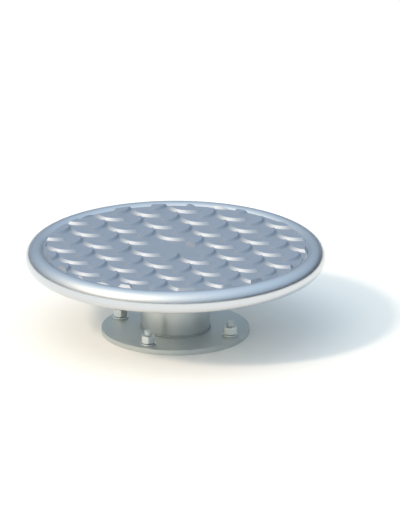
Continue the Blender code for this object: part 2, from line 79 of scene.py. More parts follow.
# Places that the frame's boxes don't give, in metres as in the model
TUBE_WALL = 2.6 * MM
DRAIN_COUNT = 3
DRAIN_START = radians(30.0)
DRAIN_RADIUS = 3.0 * MM
LUG_HEIGHT = 4.5 * MM
LUG_PITCH = 40.6 * MM
LUG_SHIFT = Vector((13.0 * MM, -1.3 * MM))
LUG_EDGE = 1.0 * MM  # from a lug's cut end to the plate's edge
TIP_LEAN = 1.4  # how much further a lug's side leans in at its tips,
WAIST_LEAN = 1.2  # and at its waist, than half way between them
CUT_LEAN = radians(27.0)  # how far the cut ends of the lugs lean in
BARE_LUGS = ((0, 0), (-1, 0))  # columns and rows of the lugs that the smooth pad leaves out
PAD_LENGTH = 80.0 * MM
PAD_WIDTH = 50.0 * MM
COLUMN_WALL = 5.0 * MM
SKIRT_WALL = 3.6 * MM
ACCESS_RADIUS = 30.0 * MM
HOLE_RADIUS = 7.0 * MM  # of a stud's hole
WASHER_RADIUS = 6.5 * MM  # of its bore
STUD_COUNT = 4
ARM_COUNT = 6
ARM_THICKNESS = 6.0 * MM
ARM_TIP_HEIGHT = 15.0 * MM
TOUCH_GAP = 0.3 * MM
RUNNING_GAP = 2.0 * MM  # between the still cartridge and the turning spindle flange
LEVELS = ("lower", "upper")  # of the two bearings
BEARING_BORE = 17.5 * MM  # radius, as are the next ones
BALL_RADIUS = 5.556 * MM
RACE_RADIUS = 5.72 * MM
JOURNAL_RADIUS = 17.2 * MM
SHOULDER_RADIUS = 21.2 * MM
THREAD_RADIUS = 16.8 * MM
STEP_RADIUS = 31.5 * MM  # the shoulder between the two bearings
GROOVE_DEPTH = 2.0 * MM
CIRCLIP_THICKNESS = 2.0 * MM
CIRCLIP_WIDTH = 4.4 * MM
CIRCLIP_OPENING = radians(24.0)
RACE_SHOULDER = 3.325 * MM  # from the balls' centres to the edge of a track
CAGE_THICKNESS = 2.1 * MM
POCKET_PLAY = 0.2 * MM
BALL_COUNT = 9
SPINDLE_NUT_MARGIN = 1.0 * MM  # how far the nut reaches past its washer
SPINDLE_NUT_SLOTS = 4
SLOT_WIDTH = 5.0 * MM
SLOT_DEPTH = 2.5 * MM
SEAL_WALL = 1.6 * MM

# Edges, threads and welds
PLATE_SEAM = 0.06 * MM  # between the plate's edge and the tube
COLUMN_EDGE = 0.5 * MM
SKIRT_EDGE = 0.6 * MM  # and of the cartridge and the nut on the spindle
FINE_EDGE = 0.3 * MM  # of washers, cages and the spacer
SPRING_EDGE = 0.2 * MM
RING_EDGE = 1.0 * MM  # of the bearings' rings and the spindle
SEAL_EDGE = 0.5 * MM
SPINDLE_FILLET = 1.5 * MM
STUD_CHAMFER = 1.2 * MM
THREAD_FORM = ((0, 0.0), (1, 0.40), (1, 0.55), (0, 0.95), (0, 1.0))  # root 0 or crest 1, share of a pitch
STUD_DEPTH = 0.61  # of the threads, as shares of the pitch
SPINDLE_DEPTH = 0.60
NUT_CORNER = 0.25 * MM
NUT_FACE = 0.475  # radius of a nut's flat ends as a share of its width
NUT_CHAMFER = radians(30.0)
NUT_SINK = 0.9 * MM
NUT_PLAY = 0.15 * MM
BEAD_PITCH = 2.2 * MM  # from one ripple of a weld to the next
BEAD_RIPPLE = 0.07
BEAD_OUT = 0.3  # from a corner to the middle of its ring weld, as a share of the bead, as are the next
BEAD_BESIDE = 0.4
BEAD_OFF = 0.2
BEAD_BELOW = 0.1

# Faces: where one shape cuts another their counts differ, so that no edges coincide
LUG_ARC_STEPS = 26  # along each side of a lug
EDGE_STEPS = 5  # across a lug's foot and the flange's upper edge
FILLET_STEPS = 4  # across a lug's crown and the spindle's fillet
CORNER_STEPS = 3  # across a rounded corner
FINE_STEPS = 2
TRACK_STEPS = 12  # across a bearing's track
COLUMN_STEPS = 128
HUB_STEPS = 96
SPINDLE_NUT_STEPS = 94
CAGE_STEPS = 92
NUT_STEPS = 70
WASHER_STEPS = 64
BLANK_STEPS = 48
HOLE_STEPS = 34
DRAIN_STEPS = 32
THREAD_STEPS = 24
HOLLOW_STEPS = (96, 16)  # round the rim's hollow and its section
BEAD_STEPS = 10
RIPPLE_STEPS = 4
BALL_DIVISIONS = 5
SMOOTH_ANGLE = radians(32.0)
BEVEL_ANGLE = radians(30.0)

# Margins of the modelling
TILE_BULGE = 7.25 * MM  # how far a tile's side bends out round the tip of its lug
FLAT_MARGIN = 0.3 * MM  # flat strip beside a rounding, which keeps the flat's shading even
CUT_GAP = 0.02 * MM  # between a cutter and a face that it leaves whole
CUT_MARGIN = 10.0 * MM  # how far a cutter reaches past the plate,
CUT_SPARE = 1.0 * MM  # and past a stud or nut
HAIR = 0.001 * MM  # closer than this is level
MERGE = 0.002 * MM  # closer than this is one point,
TILE_MERGE = 0.01 * MM  # and where two tiles meet

# Finishes: sizes of the grain and the blotches, the grain's share in the colour, darkest and lightest
# shade, spread of the roughness by grain and by blotches, and depth of the bump. Grain with a run is
# drawn out to lines round the axis, by this length for a radian.
SATIN = {"run": 2.0 * MM, "grain": 0.35 * MM, "grain_rough": 0.65, "blotch": 40.0 * MM, "blotch_detail": 2.0,
         "share": 0.7, "shades": (0.95, 1.04), "spread": (0.08, 0.05), "depth": 0.006 * MM}
DRAWN = {"run": 3.0 * MM, "grain": 0.4 * MM, "grain_rough": 0.6, "blotch": 18.0 * MM,
         "share": 0.5, "shades": (0.92, 1.06), "spread": (0.08, 0.10), "depth": 0.008 * MM}
MILLED = {"grain": 0.6 * MM, "blotch": 12.0 * MM,
          "share": 0.4, "shades": (0.90, 1.06), "spread": (0.10, 0.12), "depth": 0.02 * MM}
RUBBER = {"metallic": 0.0, "grain": 0.4 * MM, "grain_detail": 2.0, "blotch": 12.0 * MM,
          "share": 1.0, "shades": (0.8, 1.3), "spread": (0.15, 0.0), "depth": 0.02 * MM}
BEARING_COLOUR = (0.72, 0.72, 0.73)
BRASS_COLOUR = (0.72, 0.54, 0.24)
RUBBER_COLOUR = (0.03, 0.03, 0.03)
WELD_SHADE = 0.66
TREAD_BLOTCH = 30.0 * MM
TREAD_GRAIN = 0.5 * MM
TREAD_WAVE = 6.0 * MM
TREAD_DEPTH = 0.03 * MM
TREAD_SHADES = (0.93, 1.05)
PAINTED_BOUNCE_SHADES = (0.96, 1.02)  # under the plate, on the pale steel that is painted bounce light
WORN_SHADE = 1.10
WORN_BAND = (0.8 * MM, 0.1 * MM)  # below the lugs' tops, where the wear begins and is full
PAINTED_BOUNCE_BAND = (0.2 * MM, 1.0 * MM)  # above the plate's bottom face, where the pale steel of the painted bounce light ends
SCUFF_SIZE = 9.0 * MM
SCUFF_WIDTH = 0.02
SCUFF_STRETCH = (0.25, 1.0, 1.0)
SCUFF_PATCH = 22.0 * MM
SCUFF_BAND = (0.5, 0.7)  # of the noise, between patches with none and with full scuffs

# Floor, light and camera
FLOOR_RADIUS = 6.0
FLOOR_STEPS = 96
FLOOR_ROUGHNESS = 0.9
VIEW_AZIMUTH = radians(26.565)
VIEW_ELEVATION = radians(19.0)
PIXEL = 1.5 * MM  # the photograph's scale
IMAGE_SIZE = (400, 506)
ORIGIN_PIXEL = (175.4, 331.5)  # where the origin lies in the photograph
CAMERA_DISTANCE = 4.0
LAMP_DISTANCE = 3.0
SUN_DIRECTION = Vector((-0.369, -0.639, 0.674))
SUN_ANGLE = radians(8.0)
GLOW_FALL = 6.85  # the power at which the glow fades away from the sun
DIM_PLACES = (  # how much darker, which way, over which cosines, up to what height
    (0.95, Vector((0.8, 0.6, 0.0)), (-0.1, 0.85), 0.42),
    (0.6, Vector((-0.3, -0.95, 0.0)), (-0.9, 0.2), 0.22),
)

plate_top = plate_high.z - LUG_HEIGHT
plate_bottom = plate_low.z
plate_thickness = plate_top - plate_bottom


def length(name, description, default):
    return FloatProperty(name=name, description=description, default=default, subtype="DISTANCE",
                         unit="LENGTH")


def share(name, description, default):
    return FloatProperty(name=name, description=description, default=default, min=0.0, max=1.0,
                         subtype="FACTOR")


def colour(name, description, default):
    return FloatVectorProperty(name=name, description=description, default=default, min=0.0, max=1.0,
                               size=3, subtype="COLOR")


class DeckSizes(bpy.types.PropertyGroup):
    """Sizes of the tread deck and its rim."""

    lug_length: length("Lug length", "Length of a raised lug at its foot", 52.0 * MM)
    lug_width: length("Lug width", "Width of a raised lug at its foot", 23.5 * MM)
    flank_run: length("Flank run", "How far a lug's flank leans in", 2.9 * MM)
    foot_radius: length("Foot radius", "Rounding between the plate and a lug's flank", 1.4 * MM)
    crown_radius: length("Crown radius", "Rounding between a lug's flank and its top", 1.2 * MM)
    rim_steps: IntProperty(name="Rim steps", description="Faces round the rim", default=256, min=64)
    section_steps: IntProperty(name="Tube steps", description="Faces round the tube", default=64, min=16)
    arm_edge: length("Arm edges", "Rounding of the arms' edges", 0.6 * MM)
    bead: length("Bead", "Half the width of a weld bead under the deck", 2.4 * MM)


class BaseSizes(bpy.types.PropertyGroup):
    """Sizes of the floor flange, the column and the fasteners."""

    round_steps: IntProperty(name="Round steps", description="Faces round the flange", default=160, min=32)
    edge: length("Edge", "Rounding of the flange's edges", 0.8 * MM)
    foot_weld: length("Foot weld", "Half the width of the weld at the column's foot", 1.8 * MM)
    nut_width: length("Nut width", "Nut across its flats", 19.0 * MM)
    stud_diameter: length("Stud", "Thread diameter of the floor studs", 12.0 * MM)
    thread_pitch: length("Thread pitch", "Distance between two threads", 1.75 * MM)
    spindle_pitch: length("Spindle pitch", "Distance between two threads of the spindle", 1.5 * MM)


class FinishColours(bpy.types.PropertyGroup):
    """Colours and gloss of the bare steel."""

    tread: colour("Tread plate", "Steel of the tread plate", (0.445, 0.485, 0.545))
    # Painted light: the steel under the deck is made pale so that more light bounces onto the floor, flange
    # and column beneath it; its paleness is not weathering.
    underside: colour("Underside", "Steel below the deck, out of the weather", (0.88, 0.90, 0.90))
    rim: colour("Rim", "Steel of the rim tube", (0.68, 0.695, 0.72))
    column: colour("Column", "Steel of the column", (0.70, 0.73, 0.72))
    flange: colour("Flange", "Steel of the floor flange", (0.66, 0.70, 0.69))
    zinc: colour("Fasteners", "Zinc on studs, washers and nuts", (0.80, 0.84, 0.84))
    tread_roughness: share("Tread roughness", "Roughness of the tread plate", 0.58)
    rim_roughness: share("Rim roughness", "Roughness of the rim tube", 0.25)


class StageLight(bpy.types.PropertyGroup):
    """The floor, the sky and the lamp."""

    floor: colour("Floor", "Colour of the floor", (0.97, 0.965, 0.94))
    zenith: colour("Zenith", "Light from straight above", (0.65, 0.82, 1.0))
    horizon: colour("Horizon", "Light from just above the floor", (0.31, 0.39, 0.48))
    glow: colour("Glow", "Light that the sky adds round the sun", (1.0, 0.83, 0.54))
    glow_strength: FloatProperty(name="Glow strength", description="Strength of the glow", default=1.22)
    sun: colour("Sun", "Colour of the sun lamp", (1.0, 0.80, 0.62))
    sun_strength: FloatProperty(name="Sun strength", description="Strength of the sun lamp", default=1.35)


def deselect():
    """Leave edit mode and select nothing."""
    if bpy.context.object and bpy.context.object.mode != "OBJECT":
        leave()
    bpy.ops.object.select_all(action="DESELECT")


def leave():
    bpy.ops.object.mode_set(mode="OBJECT")


def grab(*objects):
    """Select these objects, the first of them active."""
    deselect()
    for item in objects:
        item.select_set(True)
    bpy.context.view_layer.objects.active = objects[0]


def added(name):
    """Name the object at hand and put its place in its mesh."""
    bpy.ops.object.transform_apply(location=True, rotation=True, scale=True)
    made = bpy.context.object
    made.name = name
    made.data.name = name
    return made


def circle(name, steps, radius, fill="NOTHING"):
    deselect()
    bpy.ops.mesh.primitive_circle_add(vertices=steps, radius=radius, fill_type=fill)
    return added(name)


def torus(name, radius, section, height, steps, section_steps):
    """A ring round the axis whose section has this radius."""
    deselect()
    bpy.ops.mesh.primitive_torus_add(major_radius=radius, minor_radius=section, major_segments=steps,
                                     minor_segments=section_steps, location=(0, 0, height))
    return added(name)


def rod(name, radius, depth, centre, steps=HOLE_STEPS, turn=(0, 0, 0)):
    deselect()
    bpy.ops.mesh.primitive_cylinder_add(vertices=steps, radius=radius, depth=depth, location=centre,
                                        rotation=turn)
    return added(name)


def block(name, centre, size, turn=0.0):
    deselect()
    bpy.ops.mesh.primitive_cube_add(size=1.0, location=centre, rotation=(0, 0, turn), scale=size)
    return added(name)


def edit(piece, kind="FACE", action="DESELECT"):
    """Open a piece for editing with nothing selected, or all of it."""
    grab(piece)
    bpy.ops.object.mode_set(mode="EDIT")
    bpy.ops.mesh.select_mode(type=kind)
    bpy.ops.mesh.select_all(action=action)


def pick(piece, test):
    """Open a piece for editing with the vertices selected that a test accepts."""
    edit(piece, "VERT")
    leave()
    for vertex in piece.data.vertices:
        vertex.select = test(vertex.co)
    bpy.ops.object.mode_set(mode="EDIT")


def modified(piece, kind, **settings):
    """Add a modifier and apply it at once."""
    grab(piece)
    modifier = piece.modifiers.new(kind.title(), kind)
    for name, value in settings.items():
        setattr(modifier, name, value)
    bpy.ops.object.modifier_apply(modifier=modifier.name)
    return piece


def bevelled(piece, width, steps):
    limit = {"limit_method": "ANGLE", "angle_limit": BEVEL_ANGLE}
    return modified(piece, "BEVEL", width=width, segments=steps, **limit)


def combine(piece, other, operation):
    """Boolean a piece with another shape, which is used up."""
    modified(piece, "BOOLEAN", object=other, operation=operation, solver="EXACT")
    bpy.data.objects.remove(other)
    return piece


def copied(piece, name, place=(0, 0, 0), turn=0.0):
    """Copy a piece and its mesh, turned about the Z axis and then moved."""
    grab(piece)
    bpy.ops.object.duplicate(linked=False)
    bpy.context.object.rotation_euler = (0, 0, turn)
    bpy.context.object.location = place
    return added(name)


def joined(name, pieces):
    grab(*pieces)
    bpy.ops.object.join()
    return added(name)


def cleaned(piece, distance=MERGE):
    """Merge doubles and point every face outwards."""
    edit(piece, action="SELECT")
    bpy.ops.mesh.remove_doubles(threshold=distance)
    bpy.ops.mesh.normals_make_consistent(inside=False)
    leave()
    return piece


def shaded(piece, angle=SMOOTH_ANGLE):
    grab(piece)
    bpy.ops.object.shade_smooth_by_angle(angle=angle)
    return piece


def drawn(name, profile):
    """Draw a line through (radius, height) points, and stay in edit mode."""
    deselect()
    bpy.ops.mesh.primitive_plane_add(size=MM)
    line = added(name)
    edit(line, "VERT", "SELECT")
    bpy.ops.mesh.merge(type="CENTER")
    points = [Vector((radius, 0.0, height)) for radius, height in profile]
    bpy.ops.transform.translate(value=points[0])
    for here, there in zip(points, points[1:]):
        bpy.ops.mesh.extrude_region_move(TRANSFORM_OT_translate={"value": there - here})
    return line


def turned(name, profile, steps=HUB_STEPS, closed=True):
    """Spin a profile of (radius, height) points about the Z axis."""
    piece = drawn(name, profile)
    bpy.ops.mesh.select_all(action="SELECT")
    if closed:
        bpy.ops.mesh.edge_face_add()
        bpy.ops.mesh.delete(type="ONLY_FACE")
        bpy.ops.mesh.select_all(action="SELECT")
    bpy.ops.mesh.spin(steps=steps, angle=tau, center=(0, 0, 0), axis=(0, 0, 1))
    leave()
    return shaded(cleaned(piece))


def arc(centre, radius, start, end, steps=CORNER_STEPS):
    """Points of an arc in a profile's plane, both ends included."""
    angles = [start + (end - start) * step / steps for step in range(steps + 1)]
    return [(centre[0] + radius * cos(a), centre[1] + radius * sin(a)) for a in angles]


def plain_ring(name, node, inner, outer, edge, steps=HUB_STEPS, corner_steps=FINE_STEPS):
    """A ring with four rounded corners, as high as its node."""
    low, high = (corner.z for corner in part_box(node))
    corners = ((outer - edge, low + edge, -pi / 2), (outer - edge, high - edge, 0.0),
               (inner + edge, high - edge, pi / 2), (inner + edge, low + edge, pi))
    section = [point for radius, height, start in corners
               for point in arc((radius, height), edge, start, start + pi / 2, corner_steps)]
    return turned(name, section, steps)


def sleeve(name, node, wall, edge):
    """A tube round the axis, as large as its node."""
    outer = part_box(node)[1].x
    return plain_ring(name, node, outer - wall, outer, edge, COLUMN_STEPS, CORNER_STEPS)


def spot(radius, turn, height=0.0):
    """The point at this distance from the axis, turn and height."""
    return Vector((radius * cos(turn), radius * sin(turn), height))


def around(piece, name, count, radius=0.0, facing=True, start=0.0):
    """Copies of a piece in even steps about the Z axis, in place of the piece."""
    copies = []
    for number in range(count):
        turn = start + tau * number / count
        copies.append(copied(piece, f"{name}_{number + 1}", spot(radius, turn), turn if facing else 0.0))
    bpy.data.objects.remove(piece)
    return copies


def pierced(piece, cutter, count, **places):
    """Cut copies of a shape, set round the axis, out of a piece."""
    return combine(piece, joined("cutters", around(cutter, "cutter", count, **places)), "DIFFERENCE")


def ring_bead(name, radius, height, size):
    """A rippled weld bead that runs round the axis."""
    ripples = round(tau * radius / BEAD_PITCH)
    bead = torus(name, radius, size, height, ripples * RIPPLE_STEPS, BEAD_STEPS)
    for vertex in bead.data.vertices:
        turn = atan2(vertex.co.y, vertex.co.x)
        core = spot(radius, turn, height)
        vertex.co = core + (vertex.co - core) * (1.0 + BEAD_RIPPLE * sin(turn * ripples))
    return shaded(bead, pi)


def straight_bead(start, end, size):
    """A rippled weld bead between two points: a ball drawn out to a rod."""
    run = Vector(end) - Vector(start)
    turn = run.to_track_quat("Z", "Y")
    deselect()
    bpy.ops.mesh.primitive_uv_sphere_add(segments=BEAD_STEPS, radius=1.0,
                                         ring_count=round(run.length / BEAD_PITCH * RIPPLE_STEPS))
    bead = added("bead")
    for vertex in bead.data.vertices:
        way = run.length * acos(max(-1.0, min(1.0, vertex.co.z))) / pi
        spare = max(0.0, min(way, run.length - way, size)) / size
        reach = size * sqrt(1.0 - (1.0 - spare) ** 2)
        reach *= 1.0 + BEAD_RIPPLE * sin(tau * way / BEAD_PITCH)
        side = Vector((vertex.co.x, vertex.co.y, 0.0)).normalized()
        vertex.co = Vector(start) + turn @ (side * reach + Vector((0, 0, way)))
    return shaded(cleaned(bead), pi)


def tube_inner_face(height):
    """How far out the rim tube's inner side lies at a height."""
    rise = min(abs(height - rim_height), tube_radius)
    return rim_radius - sqrt(tube_radius ** 2 - rise ** 2)


looks = {}


def finished(piece, body, slot, *nodes, look=None):
    """Put a piece on its body with its slot and look, in place of its nodes."""
    piece.data.materials.clear()
    piece.data.materials.append(looks[look or slot])
    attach(piece, body)
    if nodes:
        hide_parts(*nodes)


def finished_copies(copies, body, slot, node):
    for number, piece in enumerate(copies, start=1):
        finished(piece, body, slot, f"{node}_{number}")


def operator_pair(operation):
    """A Python operator and its reflected form, each of which adds a Math node."""
    return (lambda one, two: one.look.node("Math", 0, [one, two], operation=operation),
            lambda two, one: two.look.node("Math", 0, [one, two], operation=operation))


class Value:
    """An output of a shader node that takes Python's operators."""

    def __init__(self, look, socket):
        self.look = look
        self.socket = socket

    __add__, __radd__ = operator_pair("ADD")
    __sub__, __rsub__ = operator_pair("SUBTRACT")
    __mul__, __rmul__ = operator_pair("MULTIPLY")
    __pow__, __rpow__ = operator_pair("POWER")


class Nodes:
    """A node tree under way, with ways to add its nodes."""

    def __init__(self, tree):
        self.tree = tree

    def node(self, kind, output, inputs=(), **settings):
        """Add a node, set its settings, then its inputs in order or by name, and give one output."""
        made = self.tree.nodes.new("ShaderNode" + kind)
        for name, value in settings.items():
            setattr(made, name, value)
        for key, value in inputs.items() if isinstance(inputs, dict) else enumerate(inputs):
            if isinstance(value, Value):
                self.tree.links.new(value.socket, made.inputs[key])
            else:
                made.inputs[key].default_value = value
        return Value(self, made.outputs[output])

    def place(self):
        """The point on the piece in the object's own coordinates."""
        return self.node("TexCoord", "Object")

    def part(self, vector, axis):
        return self.node("SeparateXYZ", axis, [vector])

    def noise(self, vector, size, detail=3.0, rough=0.5):
        """Noise from 0 to 1 whose blotches are about this size."""
        return self.node("TexNoise", "Fac",
                         {"Vector": vector, "Scale": 1.0 / size, "Detail": detail, "Roughness": rough})

    def stepped(self, value, start, end):
        """Map a value smoothly from start..end to 0..1, and hold it outside."""
        return self.node("MapRange", "Result", {"Value": value, "From Min": start, "From Max": end},
                         interpolation_type="SMOOTHSTEP")

    def scuffs(self, vector):
        """Thin lines from 0 to 1, at the edges of long cells."""
        drawn_out = self.node("Mapping", "Vector", {"Vector": vector, "Scale": SCUFF_STRETCH})
        edges = self.node("TexVoronoi", "Distance",
                          {"Vector": drawn_out, "Scale": 1.0 / SCUFF_SIZE}, feature="DISTANCE_TO_EDGE")
        return self.stepped(edges, SCUFF_WIDTH, 0.0)

    def lined(self, vector, run):
        """A place whose turn about the axis is cut to this length for a radian."""
        x, y, z = (self.part(vector, axis) for axis in "XYZ")
        turn = self.node("Math", 0, [y, x], operation="ARCTAN2")
        return self.node("CombineXYZ", 0, [turn * run, (x * x + y * y) ** 0.5, z])

    def facing(self, vector, direction):
        """The cosine between a vector and a direction."""
        return self.node("VectorMath", "Value", [vector, direction.normalized()], operation="DOT_PRODUCT")

    def times(self, vector, share):
        return self.node("VectorMath", "Vector", {"Vector": vector, "Scale": share}, operation="SCALE")

    def mixed(self, share, first, second):
        """Mix two colours by a value."""
        return self.node("Mix", 2, {"Factor": share, 6: tinted(first), 7: tinted(second)}, data_type="RGBA")

    def shades(self, share, base, factors):
        """Mix a darker and a lighter shade of a colour by a value."""
        return self.mixed(share, *(shade(base, factor) for factor in factors))

    def bump(self, height, depth):
        """Normal from a height of 0 to 1 that stands for this depth."""
        return self.node("Bump", "Normal", {"Strength": 1.0, "Distance": depth, "Height": height})


class Look(Nodes):
    """A material under way."""

    def __init__(self, name, metallic=1.0):
        self.material = bpy.data.materials.new(name)
        self.material.use_nodes = True
        super().__init__(self.material.node_tree)
        self.shader = self.tree.nodes["Principled BSDF"]
        self.shader.inputs["Metallic"].default_value = metallic

    def finish(self, **sockets):
        """Link or set the shader's sockets and return the material."""
        for name, value in sockets.items():
            socket = self.shader.inputs[name.replace("_", " ").title()]
            if isinstance(value, Value):
                self.tree.links.new(value.socket, socket)
            else:
                socket.default_value = value
        return self.material


def tinted(value):
    """A colour with its alpha, or a linked colour as it is."""
    return value if isinstance(value, Value) else (*value, 1.0)


def shade(base, factor):
    return tuple(min(1.0, part * factor) for part in base)


def tread_look(colours):
    """Tread plate: fine grain, soft blotches, shoe scuffs and brighter crowns on the lugs, over a pale
    bottom face that is painted bounce light.
    """
    look = Look("tread_steel")
    place = look.place()
    height = look.part(place, "Z")
    blotch = look.noise(place, TREAD_BLOTCH)
    grain = look.noise(place, TREAD_GRAIN, detail=2.0)
    worn = look.stepped(height, *(plate_high.z - depth for depth in WORN_BAND))
    scuff = look.scuffs(place) * look.stepped(look.noise(place, SCUFF_PATCH, detail=2.0), *SCUFF_BAND) * worn
    steel = look.shades(blotch * 0.6 + grain * 0.25, colours.tread, TREAD_SHADES)
    steel = look.mixed(worn * 0.35 + scuff * 0.3, steel, shade(colours.tread, WORN_SHADE))
    # painted light: the plate's bottom face takes the pale under-deck steel, so that more light bounces
    # below the deck
    painted_bounce = look.shades(grain, colours.underside, PAINTED_BOUNCE_SHADES)
    upper = look.stepped(height, *(plate_bottom + rise for rise in PAINTED_BOUNCE_BAND))
    rough = colours.tread_roughness + (blotch - 0.5) * 0.08 + (grain - 0.5) * 0.06
    rough = rough - worn * 0.03 + scuff * 0.08
    normal = look.bump(grain * 0.6 + look.noise(place, TREAD_WAVE, detail=2.0) * 0.4, TREAD_DEPTH)
    return look.finish(base_color=look.mixed(upper, painted_bounce, steel), roughness=rough, normal=normal)


def grained_look(name, base, roughness, *, grain, blotch, share, shades, spread, depth, run=None,
                 grain_detail=3.0, grain_rough=0.5, blotch_detail=3.0, metallic=1.0):
    """Fine grain, drawn out to lines where it has a run, over soft blotches."""
    look = Look(name, metallic)
    place = look.place()
    fine = look.noise(look.lined(place, run) if run else place, grain, grain_detail, grain_rough)
    broad = look.noise(place, blotch, blotch_detail)
    mix = look.shades(fine * share + broad * (1.0 - share), base, shades)
    rough = roughness + (fine - 0.5) * spread[0] + (broad - 0.5) * spread[1]
    return look.finish(base_color=mix, roughness=rough, normal=look.bump(fine, depth))


def make_looks(colours):
    looks["tread_steel"] = tread_look(colours)
    for name, base, roughness, surface in (
            ("rim_steel", colours.rim, colours.rim_roughness, SATIN),
            ("column_steel", colours.column, 0.42, DRAWN),
            ("flange_steel", colours.flange, 0.50, MILLED),
            # painted light: the arms and the skirt take the pale under-deck steel, so that more light
            # bounces below the deck
            ("arm_steel", colours.underside, 0.42, MILLED),
            ("weld_steel", shade(colours.column, WELD_SHADE), 0.55, MILLED),
            ("spindle_steel", colours.column, 0.24, DRAWN),
            ("fastener_zinc", colours.zinc, 0.34, MILLED),
            ("bearing_steel", BEARING_COLOUR, 0.16, DRAWN),
            ("cage_brass", BRASS_COLOUR, 0.30, DRAWN),
            ("seal_rubber", RUBBER_COLOUR, 0.625, RUBBER)):
        looks[name] = grained_look(name, base, roughness, **surface)


class PIVOT_OT_finishes(bpy.types.Operator):
    """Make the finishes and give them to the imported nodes"""

    bl_idname = "pivot.finishes"
    bl_label = "Finishes"

    def execute(self, context):
        make_looks(context.scene.pivot_finish)
        for row in frame["record"]["subparts"]:
            node = frame["nodes"][row["node"]]
            node.data.materials.clear()
            node.data.materials.append(looks[row["material_slot"]])
        return {"FINISHED"}


def lug_profile(sizes):
    """(inset, rise) steps of a lug's side, from the plate up to its top."""
    lean = atan2(LUG_HEIGHT, sizes.flank_run)
    foot_tail = sizes.foot_radius * tan(lean / 2)
    crown_tail = sizes.crown_radius * tan(lean / 2)
    foot_centre = (-foot_tail, sizes.foot_radius)
    crown_centre = (sizes.flank_run + crown_tail, LUG_HEIGHT - sizes.crown_radius)
    foot = arc(foot_centre, sizes.foot_radius, -pi / 2, lean - pi / 2, EDGE_STEPS)
    return foot + arc(crown_centre, sizes.crown_radius, lean + pi / 2, pi / 2, FILLET_STEPS)


def outline_loop(sizes, inset, height):
    """A lug's outline: two arcs that meet at its tips on the X axis."""
    half_length = sizes.lug_length / 2 - inset * TIP_LEAN
    half_width = sizes.lug_width / 2 - inset * (WAIST_LEAN if inset > 0.0 else 1.0)
    radius = (half_length ** 2 + half_width ** 2) / (2 * half_width)
    drop = radius - half_width
    reach = acos(drop / radius)
    line = circle("lug_outline", 2 * LUG_ARC_STEPS, radius)
    for index, vertex in enumerate(line.data.vertices):
        angle = reach - 2 * reach * (index % LUG_ARC_STEPS) / LUG_ARC_STEPS
        side = 1 if index < LUG_ARC_STEPS else -1
        vertex.co = (side * radius * sin(angle), side * (radius * cos(angle) - drop), height)
    return line


def tile_border():
    """A tile's outline: a square that bulges at the lug's tips and draws in beside the lug."""
    half = LUG_PITCH / 2
    border = circle("tile_border", 8, half)
    for vertex in border.data.vertices:
        across, along = round(vertex.co.x / half, 3), round(vertex.co.y / half, 3)
        if along == 0.0:
            vertex.co.x = across * (half + TILE_BULGE)
        elif across == 0.0:
            vertex.co.y = along * (half - TILE_BULGE)
        else:
            vertex.co = (copysign(half, across), copysign(half, along), 0.0)
    return border


def lug_tile(sizes):
    """A flat tile with a lens-shaped lug along X on it."""
    profile = lug_profile(sizes)
    tile = joined("lug_tile", [outline_loop(sizes, inset, height) for inset, height in profile])
    edit(tile, "EDGE", "SELECT")
    bpy.ops.mesh.bridge_edge_loops()
    pick(tile, lambda co: co.z > LUG_HEIGHT - HAIR)
    bpy.ops.mesh.edge_face_add()
    bpy.ops.mesh.inset(thickness=FLAT_MARGIN, depth=0.0)
    tile = joined("lug_tile", [tile, outline_loop(sizes, profile[0][0] - FLAT_MARGIN, 0.0)])
    pick(tile, lambda co: co.z < HAIR)
    bpy.ops.mesh.bridge_edge_loops()
    tile = joined("lug_tile", [tile, tile_border()])
    edit(tile, "EDGE")
    bpy.ops.mesh.select_non_manifold(extend=False)
    bpy.ops.mesh.fill(use_beauty=True)
    return tile


def lay_tiles(sizes, edge):
    """A sheet of lug tiles, every other one turned, with bare ones at the smooth pad."""
    tile = lug_tile(sizes)
    bare = tile_border()
    edit(bare, "EDGE", "SELECT")
    bpy.ops.mesh.edge_face_add()
    reach = ceil((edge + max(LUG_SHIFT)) / LUG_PITCH - 0.5)
    tiles = []
    for column in range(-reach, reach + 1):
        for row in range(-reach, reach + 1):
            x, y = LUG_SHIFT + Vector((column, row)) * LUG_PITCH
            kind = bare if (column, row) in BARE_LUGS else tile
            turn = pi / 2 * ((column + row) % 2)
            tiles.append(copied(kind, "tile_copy", (x, y, plate_top), turn))
    bpy.data.objects.remove(tile)
    bpy.data.objects.remove(bare)
    return cleaned(joined("tread_deck", tiles), TILE_MERGE)


def make_tread(sizes):
    """The tread plate: tiles side by side, given their thickness and cut round."""
    edge_top = tube_inner_face(plate_top) - PLATE_SEAM
    edge_bottom = tube_inner_face(plate_bottom) - PLATE_SEAM
    sheet = lay_tiles(sizes, edge_top)
    edit(sheet, "EDGE")
    bpy.ops.mesh.select_non_manifold(extend=False)
    bpy.ops.mesh.extrude_edges_move(TRANSFORM_OT_translate={"value": (0, 0, -plate_thickness)})
    bpy.ops.mesh.edge_face_add()
    cleaned(sheet)

    slope = (edge_top - edge_bottom) / plate_thickness
    below, low, high = plate_bottom - CUT_MARGIN, plate_top + CUT_GAP, plate_top + CUT_MARGIN
    outline = [(0.0, below), (edge_bottom - slope * CUT_MARGIN, below),
               (edge_top + slope * CUT_GAP, low), (edge_top - LUG_EDGE, low),
               (edge_top - LUG_EDGE - CUT_MARGIN * tan(CUT_LEAN), high), (0.0, high)]
    combine(sheet, turned("plate_outline", outline, sizes.rim_steps, closed=False), "INTERSECT")
    pad = block("pad_cutter", (0, 0, (low + high) / 2), (PAD_LENGTH, PAD_WIDTH, high - low))
    return shaded(combine(sheet, pad, "DIFFERENCE"))


class PIVOT_OT_tread(bpy.types.Operator):
    """Model the tread plate with its raised lugs"""

    bl_idname = "pivot.tread"
    bl_label = "Tread plate"

    def execute(self, context):
        finished(make_tread(context.scene.pivot_deck), "deck", "tread_steel", "tread_plate")
        return {"FINISHED"}


